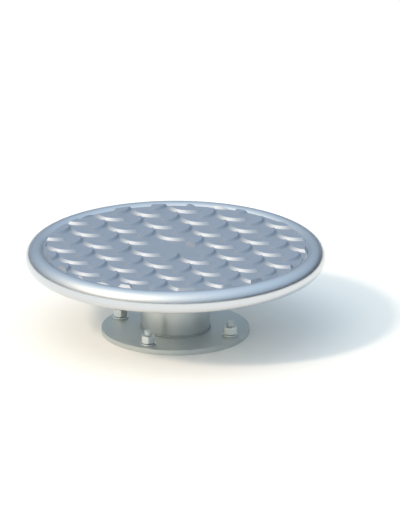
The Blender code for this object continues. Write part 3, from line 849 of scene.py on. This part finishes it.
def make_rim(sizes):
    """The rim: a hollow ring of round tube with its drain holes."""
    hollow = tube_radius - TUBE_WALL
    ring = torus("rim_ring", rim_radius, tube_radius, rim_height, sizes.rim_steps, sizes.section_steps)
    combine(ring, torus("rim_hollow", rim_radius, hollow, rim_height, *HOLLOW_STEPS), "DIFFERENCE")
    drain = rod("drain", DRAIN_RADIUS, tube_radius, (0, 0, rim_low.z), DRAIN_STEPS)
    return shaded(pierced(ring, drain, DRAIN_COUNT, radius=rim_radius, facing=False, start=DRAIN_START))


class PIVOT_OT_rim(bpy.types.Operator):
    """Model the rim tube round the plate"""

    bl_idname = "pivot.rim"
    bl_label = "Rim"

    def execute(self, context):
        finished(make_rim(context.scene.pivot_deck), "deck", "rim_steel", "rim_tube")
        return {"FINISHED"}


def make_flange(sizes):
    """A disc with rounded edges, an access hole and the stud holes."""
    outer, top, edge = flange_high.x, flange_high.z, sizes.edge
    profile = [(ACCESS_RADIUS, 0.0), (outer - edge / 2, 0.0), (outer, edge / 2)]
    profile += arc((outer - edge, top - edge), edge, 0.0, pi / 2, EDGE_STEPS)
    profile += arc((ACCESS_RADIUS + edge, top - edge), edge, pi / 2, pi)
    flange = turned("floor_flange", profile, sizes.round_steps)
    hole = rod("stud_hole", HOLE_RADIUS, 3 * top, (0, 0, top / 2))
    return shaded(pierced(flange, hole, STUD_COUNT, radius=stud_circle_radius, facing=False))


class PIVOT_OT_base(bpy.types.Operator):
    """Model the floor flange and the column with the weld at its foot"""

    bl_idname = "pivot.base"
    bl_label = "Flange and column"

    def execute(self, context):
        sizes = context.scene.pivot_base
        finished(make_flange(sizes), "base", "flange_steel", "base_flange")
        column = sleeve("column", "pedestal_tube", COLUMN_WALL, COLUMN_EDGE)
        finished(column, "base", "column_steel", "pedestal_tube")
        bead = sizes.foot_weld
        weld = ring_bead("foot_weld", column_high.x + BEAD_OUT * bead, flange_high.z + BEAD_OUT * bead, bead)
        finished(weld, "base", "column_steel", look="weld_steel")
        return {"FINISHED"}


def make_stud(sizes):
    """A stud: one turn of its thread, screwed up, cut to length and chamfered."""
    pitch, outer = sizes.thread_pitch, sizes.stud_diameter / 2
    low, high = stud_low.z, stud_high.z
    start = low - 1.5 * pitch
    depth = STUD_DEPTH * pitch
    form = [(outer - depth * (1 - crest), start + rise * pitch) for crest, rise in THREAD_FORM]
    stud = drawn("stud", form)
    leave()
    modified(stud, "SCREW", axis="Z", screw_offset=pitch, iterations=ceil((high - low) / pitch) + 3,
             steps=THREAD_STEPS, render_steps=THREAD_STEPS, use_merge_vertices=False)
    cleaned(stud)
    for level, way in ((low, -1.0), (high, 1.0)):
        edit(stud, action="SELECT")
        bpy.ops.mesh.bisect(plane_co=(0, 0, level), plane_no=(0, 0, way), use_fill=True,
                            clear_outer=True, threshold=HAIR)
    past, cut = outer + CUT_SPARE, STUD_CHAMFER + CUT_SPARE
    blank = [(0.0, low - CUT_SPARE), (outer - cut, low - CUT_SPARE), (past, low + cut), (past, high - cut),
             (outer - cut, high + CUT_SPARE), (0.0, high + CUT_SPARE)]
    combine(cleaned(stud), turned("stud_blank", blank, BLANK_STEPS, closed=False), "INTERSECT")
    return shaded(stud)


def make_nut(sizes):
    """A hex nut, chamfered at both ends, with a countersunk bore."""
    low, high = (corner.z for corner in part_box("stud_nut_1"))
    corner = sizes.nut_width / 2 / cos(pi / 6)
    nut = rod("nut", corner, high - low, (0, 0, (low + high) / 2), 6, (0, 0, pi / 2))
    bore, face = sizes.stud_diameter / 2 + NUT_PLAY, NUT_FACE * sizes.nut_width
    rise = (corner + CUT_SPARE - face) * tan(NUT_CHAMFER)
    blank = [(bore + NUT_SINK, low - CUT_GAP), (face, low - CUT_GAP), (corner + CUT_SPARE, low + rise),
             (corner + CUT_SPARE, high - rise), (face, high + CUT_GAP), (bore + NUT_SINK, high + CUT_GAP),
             (bore, high - NUT_SINK), (bore, low + NUT_SINK)]
    return shaded(combine(bevelled(nut, NUT_CORNER, 2), turned("nut_blank", blank, NUT_STEPS), "INTERSECT"))


def make_washer():
    low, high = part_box("stud_washer_1")
    outer = (high.y - low.y) / 2
    return plain_ring("washer", "stud_washer_1", WASHER_RADIUS, outer, FINE_EDGE, WASHER_STEPS)


class PIVOT_OT_fasteners(bpy.types.Operator):
    """Model the floor studs with their washers and nuts"""

    bl_idname = "pivot.fasteners"
    bl_label = "Studs, washers and nuts"

    def execute(self, context):
        sizes = context.scene.pivot_base
        for blank, kind, node in (
                (make_stud(sizes), "floor_stud", "anchor_stud"),
                (make_washer(), "floor_washer", "stud_washer"),
                (make_nut(sizes), "floor_nut", "stud_nut")):
            copies = around(blank, kind, STUD_COUNT, stud_circle_radius, facing=False)
            finished_copies(copies, "base", "fastener_zinc", node)
        return {"FINISHED"}


def make_arm(edge):
    """A flat bar, as deep as the skirt at its root and shallow at the rim."""
    middle = (arm_low + arm_high) / 2
    size = (arm_high.x - arm_low.x, ARM_THICKNESS, arm_high.z - arm_low.z)
    arm = block("arm", (middle.x, 0.0, middle.z), size)
    pick(arm, lambda co: co.x > middle.x and co.z < middle.z)
    bpy.ops.transform.translate(value=(0, 0, arm_high.z - ARM_TIP_HEIGHT - arm_low.z))
    return shaded(bevelled(arm, edge, 3))


def make_arm_welds(size):
    """One arm's beads, on both its sides: along the plate, at the skirt and at the rim."""
    inner, outer, low, high = arm_low.x, arm_high.x, arm_low.z, arm_high.z
    side = ARM_THICKNESS / 2 + BEAD_BESIDE * size
    below, root = high - BEAD_BELOW * size, inner + BEAD_OFF * size
    ends = (((inner + size, below), (outer - size, below)), ((root, low + size), (root, high - size)),
            ((outer, high - ARM_TIP_HEIGHT + size), (outer, high - size)))
    return joined("arm_welds", [straight_bead((x1, way, z1), (x2, way, z2), size)
                                for way in (-side, side) for (x1, z1), (x2, z2) in ends])


class PIVOT_OT_arms(bpy.types.Operator):
    """Model the arms, the skirt and their welds"""

    bl_idname = "pivot.arms"
    bl_label = "Arms and skirt"

    def execute(self, context):
        sizes = context.scene.pivot_deck
        finished_copies(around(make_arm(sizes.arm_edge), "arm", ARM_COUNT), "deck", "arm_steel", "deck_arm")
        skirt = sleeve("skirt", "weather_skirt", SKIRT_WALL, SKIRT_EDGE)
        finished(skirt, "deck", "arm_steel", "weather_skirt")
        bead = sizes.bead
        beads = around(make_arm_welds(bead), "arm_weld", ARM_COUNT)
        beads.append(ring_bead("skirt_weld", skirt_high.x + BEAD_OUT * bead, skirt_high.z, bead))
        beads.append(ring_bead("rim_weld", tube_inner_face(plate_bottom) - BEAD_OUT * bead,
                               plate_bottom - BEAD_OFF * bead, bead))
        finished(joined("deck_welds", beads), "deck", "arm_steel", look="weld_steel")
        return {"FINISHED"}


def bearing_place():
    """Lower and upper side of the lower bearing, and the height and circle of its balls."""
    low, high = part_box("lower_bearing_outer_ring")
    return low.z, high.z, (low.z + high.z) / 2, (high.x + BEARING_BORE) / 2


def make_race(name, side):
    """A bearing's ring: side is -1 for the inner one and 1 for the outer, its mirror image."""
    low, high, middle, pitch = bearing_place()
    track = acos(RACE_SHOULDER / RACE_RADIUS)
    back = pitch - BEARING_BORE - RING_EDGE
    section = arc((back, low + RING_EDGE), RING_EDGE, -pi / 2, 0.0)
    section += arc((back, high - RING_EDGE), RING_EDGE, 0.0, pi / 2)
    section += [(RACE_SHOULDER, high), *arc((0.0, middle), RACE_RADIUS, track, -track, TRACK_STEPS),
                (RACE_SHOULDER, low)]
    return turned(name, [(pitch + side * reach, height) for reach, height in section])


def make_cage():
    """A brass ring with a pocket for each ball."""
    middle, pitch = bearing_place()[2:]
    half = CAGE_THICKNESS / 2
    cage = plain_ring("cage_ring", "lower_ball_cage", pitch - half, pitch + half, FINE_EDGE, CAGE_STEPS)
    pocket = rod("pocket", BALL_RADIUS + POCKET_PLAY, 4 * CAGE_THICKNESS, (pitch, 0.0, middle),
                 turn=(0.0, pi / 2, 0.0))
    return shaded(pierced(cage, pocket, BALL_COUNT))


def make_ball():
    deselect()
    bpy.ops.mesh.primitive_ico_sphere_add(subdivisions=BALL_DIVISIONS, radius=BALL_RADIUS)
    return shaded(added("ball"), pi)


def make_circlip():
    """A spring ring in the cartridge's groove, open at one side."""
    low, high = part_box("lower_circlip")
    outer, turn = -low.x, -CIRCLIP_OPENING / 2
    ring = plain_ring("spring_ring", "lower_circlip", outer - CIRCLIP_WIDTH, outer, SPRING_EDGE)
    opening = block("opening", spot(outer, turn, (low.z + high.z) / 2),
                    (4 * CIRCLIP_WIDTH, 2 * outer * sin(-turn), 2 * (high.z - low.z)), turn)
    return shaded(combine(ring, opening, "DIFFERENCE"))


def make_seal():
    """A shaft seal: a case, a web and a lip that ends just off the spindle's shoulder."""
    low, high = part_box("spindle_seal")
    outer, lip, middle = high.x, SHOULDER_RADIUS + TOUCH_GAP, (low.z + high.z) / 2
    wall, edge = SEAL_WALL, SEAL_EDGE
    section = [(outer - edge, low.z), (outer, low.z + edge), (outer, high.z - edge), (outer - edge, high.z),
               (outer - wall, high.z), (outer - 2 * wall, high.z - wall), (lip + 2 * wall, high.z - wall),
               (lip + wall, high.z - edge), (lip + edge, high.z - edge), (lip + edge, middle + edge),
               (lip, middle), (lip + edge, middle - edge), (lip + wall, middle - wall),
               (lip + 2 * wall, middle), (outer - 2 * wall, middle), (outer - wall, middle - wall),
               (outer - wall, low.z)]
    return turned("shaft_seal", section)


def node_centre(node):
    low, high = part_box(node)
    return (low + high) / 2


def at_levels(blank, part, body, slot="bearing_steel"):
    """Copy a piece of the lower bearing to its node in each bearing."""
    first = node_centre(f"lower_{part}")
    for level in LEVELS:
        copy = copied(blank, f"{level}_{blank.name}", node_centre(f"{level}_{part}") - first)
        finished(copy, body.format(level), slot, f"{level}_{part}")
    bpy.data.objects.remove(blank)


class PIVOT_OT_bearings(bpy.types.Operator):
    """Model the rings, cages and spring rings of the two ball bearings, and the seal above them"""

    bl_idname = "pivot.bearings"
    bl_label = "Bearings"

    def execute(self, context):
        at_levels(make_race("inner_ring", -1), "bearing_inner_ring", "deck")
        at_levels(make_race("outer_ring", 1), "bearing_outer_ring", "base")
        at_levels(make_cage(), "ball_cage", "{}_cage", "cage_brass")
        at_levels(make_circlip(), "circlip", "base")
        ball = make_ball()
        for part in (f"ball_{number}" for number in range(1, BALL_COUNT + 1)):
            at_levels(copied(ball, f"{part}_polished", node_centre(f"lower_{part}")), part, "{}_cage")
        bpy.data.objects.remove(ball)
        finished(make_seal(), "base", "seal_rubber", "spindle_seal")
        return {"FINISHED"}


def make_spindle(pitch):
    """The spindle: thread, journal, shoulder and the flange under the plate."""
    low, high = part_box("hub_spindle")
    thread_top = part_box("spindle_tab_washer")[1].z
    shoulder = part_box("upper_bearing_inner_ring")[1].z + TOUCH_GAP
    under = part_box("bearing_cartridge")[1].z + RUNNING_GAP
    first, root, edge = low.z + RING_EDGE, THREAD_RADIUS - SPINDLE_DEPTH * pitch, RING_EDGE / 2
    section = [(0.0, low.z), (THREAD_RADIUS - RING_EDGE, low.z)]
    for crest in range(int((thread_top - first) / pitch)):
        height = first + crest * pitch
        section += [(THREAD_RADIUS, height), (root, height + pitch / 2)]
    section += [(JOURNAL_RADIUS, thread_top), (JOURNAL_RADIUS, shoulder), (SHOULDER_RADIUS - edge, shoulder),
                (SHOULDER_RADIUS, shoulder + edge)]
    section += arc((SHOULDER_RADIUS + SPINDLE_FILLET, under - SPINDLE_FILLET), SPINDLE_FILLET,
                   pi, pi / 2, FILLET_STEPS)
    section += arc((high.x - RING_EDGE, under + RING_EDGE), RING_EDGE, -pi / 2, 0.0)
    return turned("spindle", section + [(high.x, high.z), (0.0, high.z)], closed=False)


def make_spindle_nut():
    """The slotted ring nut on the spindle's thread."""
    low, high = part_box("spindle_nut")
    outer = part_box("spindle_tab_washer")[1].x + SPINDLE_NUT_MARGIN
    nut = plain_ring("spindle_ring_nut", "spindle_nut", THREAD_RADIUS + TOUCH_GAP, outer, SKIRT_EDGE,
                     SPINDLE_NUT_STEPS, CORNER_STEPS)
    size = (2 * SLOT_DEPTH, SLOT_WIDTH, 2 * (high.z - low.z))
    slot = block("slot", (outer, 0.0, (low.z + high.z) / 2), size)
    return shaded(pierced(nut, slot, SPINDLE_NUT_SLOTS))


def make_cartridge():
    """The housing with its seats, circlip grooves and the collar on the column's top."""
    low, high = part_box("bearing_cartridge")
    lower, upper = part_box("lower_bearing_outer_ring"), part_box("upper_bearing_outer_ring")
    seat, body = upper[1].x + TOUCH_GAP, column_high.x - COLUMN_WALL - TOUCH_GAP
    groove, step, edge = seat + GROOVE_DEPTH, STEP_RADIUS, SKIRT_EDGE
    collar_low = column_high.z + TOUCH_GAP
    upper_groove = upper[1].z + 2 * TOUCH_GAP + CIRCLIP_THICKNESS
    lower_groove = lower[0].z - 2 * TOUCH_GAP - CIRCLIP_THICKNESS
    step_high, step_low = upper[0].z - TOUCH_GAP, lower[1].z + TOUCH_GAP
    section = [
        (seat + edge, low.z), (body - edge, low.z), (body, low.z + edge), (body, collar_low),
        (high.x - edge, collar_low), (high.x, collar_low + edge), (high.x, high.z - edge),
        (high.x - edge, high.z), (seat + edge, high.z), (seat, high.z - edge),
        (seat, upper_groove), (groove, upper_groove), (groove, upper[1].z), (seat, upper[1].z),
        (seat, step_high), (step, step_high), (step, step_low), (seat, step_low),
        (seat, lower[0].z), (groove, lower[0].z), (groove, lower_groove), (seat, lower_groove),
        (seat, low.z + edge),
    ]
    return turned("cartridge", section)


class PIVOT_OT_hub(bpy.types.Operator):
    """Model the spindle, its nut, washer and spacer, and the bearing cartridge"""

    bl_idname = "pivot.hub"
    bl_label = "Hub"

    def execute(self, context):
        spindle = make_spindle(context.scene.pivot_base.spindle_pitch)
        finished(spindle, "deck", "arm_steel", "hub_spindle", look="spindle_steel")
        finished(make_spindle_nut(), "deck", "fastener_zinc", "spindle_nut")
        for node, name, inner in (
                ("spindle_tab_washer", "ring_washer", THREAD_RADIUS + TOUCH_GAP),
                ("bearing_spacer", "spacer", BEARING_BORE)):
            ring = plain_ring(name, node, inner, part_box(node)[1].x, FINE_EDGE)
            finished(ring, "deck", "fastener_zinc", node)
        finished(make_cartridge(), "base", "column_steel", "bearing_cartridge", look="spindle_steel")
        return {"FINISHED"}


def make_floor(light):
    floor = circle("floor", FLOOR_STEPS, FLOOR_RADIUS, fill="NGON")
    look = Look("floor", metallic=0.0)
    look.shader.inputs["Specular IOR Level"].default_value = 0.0
    floor.data.materials.append(look.finish(base_color=tinted(light.floor), roughness=FLOOR_ROUGHNESS))


def make_sky(light):
    """A soft blue sky, darker low down, with dim places and a warm glow round the sun."""
    world = bpy.data.worlds.new("sky")
    bpy.context.scene.world = world
    world.use_nodes = True
    sky = Nodes(world.node_tree)
    way = sky.node("TexCoord", "Generated")
    height = sky.part(way, "Z")
    total = sky.mixed(sky.stepped(height, 0.0, 1.0), light.horizon, light.zenith)
    near = (sky.facing(way, SUN_DIRECTION) * 0.5 + 0.5) ** GLOW_FALL
    glow = sky.times(tuple(light.glow), near * light.glow_strength)
    total = sky.node("VectorMath", "Vector", [total, glow], operation="ADD")
    for amount, middle, spread, top in DIM_PLACES:
        near = sky.stepped(sky.facing(way, middle), *spread)
        total = sky.times(total, 1.0 - (1.0 - sky.stepped(height, 0.0, top)) * near * amount)
    sky.tree.links.new(total.socket, sky.tree.nodes["Background"].inputs["Color"])


def make_sun(light):
    deselect()
    bpy.ops.object.light_add(type="SUN", location=SUN_DIRECTION * LAMP_DISTANCE)
    sun = bpy.context.object
    sun.rotation_mode = "QUATERNION"
    sun.rotation_quaternion = SUN_DIRECTION.to_track_quat("Z", "Y")
    sun.data.energy = light.sun_strength
    sun.data.color = light.sun
    sun.data.angle = SUN_ANGLE


def make_camera():
    """A parallel view, as the photograph's, with the origin at its pixel."""
    back = spot(cos(VIEW_ELEVATION), VIEW_AZIMUTH - pi / 2, sin(VIEW_ELEVATION))
    right = spot(1.0, VIEW_AZIMUTH)
    up = back.cross(right)
    middle = right * (IMAGE_SIZE[0] / 2 - ORIGIN_PIXEL[0]) * PIXEL
    middle += up * (ORIGIN_PIXEL[1] - IMAGE_SIZE[1] / 2) * PIXEL
    deselect()
    bpy.ops.object.camera_add(location=middle + back * CAMERA_DISTANCE)
    camera = bpy.context.object
    camera.rotation_mode = "QUATERNION"
    camera.rotation_quaternion = back.to_track_quat("Z", "Y")
    camera.data.type = "ORTHO"
    camera.data.ortho_scale = IMAGE_SIZE[1] * PIXEL
    bpy.context.scene.camera = camera


class PIVOT_OT_stage(bpy.types.Operator):
    """Set up the floor, the light and the camera"""

    bl_idname = "pivot.stage"
    bl_label = "Floor, light and camera"

    def execute(self, context):
        light = context.scene.pivot_light
        make_floor(light)
        make_sky(light)
        make_sun(light)
        make_camera()
        context.scene.view_settings.view_transform = "Standard"
        return {"FINISHED"}


STEPS = (PIVOT_OT_finishes, PIVOT_OT_tread, PIVOT_OT_rim, PIVOT_OT_arms, PIVOT_OT_base, PIVOT_OT_fasteners,
         PIVOT_OT_bearings, PIVOT_OT_hub, PIVOT_OT_stage)
POINTERS = {"pivot_deck": DeckSizes, "pivot_base": BaseSizes, "pivot_finish": FinishColours,
            "pivot_light": StageLight}


class PIVOT_PT_panel(bpy.types.Panel):
    """The steps and their values in the 3D view's sidebar"""

    bl_idname = "PIVOT_PT_panel"
    bl_label = "Pivot Disc"
    bl_space_type = "VIEW_3D"
    bl_region_type = "UI"
    bl_category = "Pivot Disc"

    def draw(self, context):
        for step in STEPS:
            self.layout.operator(step.bl_idname)
        for pointer, group in POINTERS.items():
            box = self.layout.box()
            for name in group.__annotations__:
                box.prop(getattr(context.scene, pointer), name)


CLASSES = (*POINTERS.values(), *STEPS, PIVOT_PT_panel)


def register():
    for item in CLASSES:
        bpy.utils.register_class(item)
    for pointer, group in POINTERS.items():
        setattr(bpy.types.Scene, pointer, PointerProperty(type=group))


def unregister():
    for pointer in POINTERS:
        delattr(bpy.types.Scene, pointer)
    for item in reversed(CLASSES):
        bpy.utils.unregister_class(item)


def main():
    register()
    for step in STEPS:
        group, name = step.bl_idname.split(".")
        getattr(getattr(bpy.ops, group), name)()


if __name__ == "__main__":
    main()
